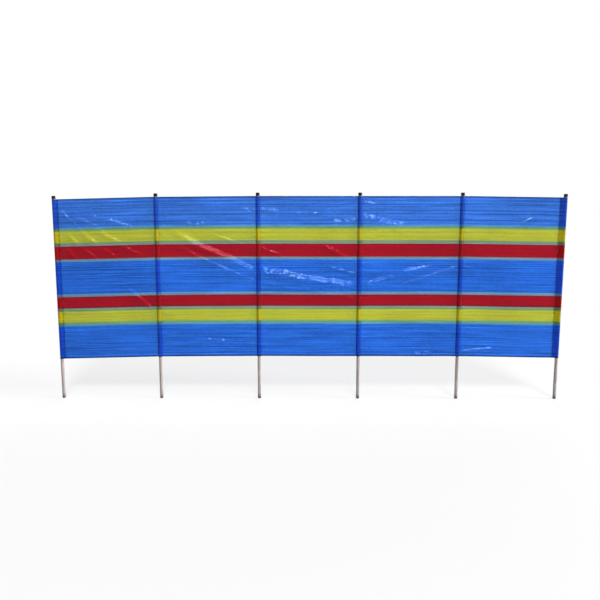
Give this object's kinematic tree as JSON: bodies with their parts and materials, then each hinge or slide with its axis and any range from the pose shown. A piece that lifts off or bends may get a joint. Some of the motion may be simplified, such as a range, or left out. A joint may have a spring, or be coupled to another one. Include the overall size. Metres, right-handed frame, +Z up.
{
  "type": "beach windbreak",
  "caption": "Striped woven sheet stretched in bays between round wooden poles that stand in the ground, each pole in a sewn sleeve and under a plastic cap, to shelter people from wind.",
  "frame": {"origin": "ground level on the axis of the first pole, the left one seen from the front", "axes": "+X along the windbreak to the last pole, +Y from the front to the back, +Z up"},
  "size_m": [3.7808, 0.0308, 1.555],
  "materials": {
    "pole_wood": "bare weathered softwood dowel",
    "cap_plastic": "black moulded plastic",
    "striped_fabric": "woven plastic tape, blue with yellow, red and thin teal stripes, slightly glossy"
  },
  "bodies": {
    "root": {"pole_1": "pole_wood", "pole_2": "pole_wood", "pole_3": "pole_wood", "pole_4": "pole_wood", "pole_5": "pole_wood", "pole_6": "pole_wood", "pole_cap_1": "cap_plastic", "pole_cap_2": "cap_plastic", "pole_cap_3": "cap_plastic", "pole_cap_4": "cap_plastic", "pole_cap_5": "cap_plastic", "pole_cap_6": "cap_plastic", "pole_sleeve_1": "striped_fabric", "pole_sleeve_2": "striped_fabric", "pole_sleeve_3": "striped_fabric", "pole_sleeve_4": "striped_fabric", "pole_sleeve_5": "striped_fabric", "pole_sleeve_6": "striped_fabric", "fabric_bay_1": "striped_fabric", "fabric_bay_2": "striped_fabric", "fabric_bay_3": "striped_fabric", "fabric_bay_4": "striped_fabric", "fabric_bay_5": "striped_fabric"}
  },
  "joints": []
}
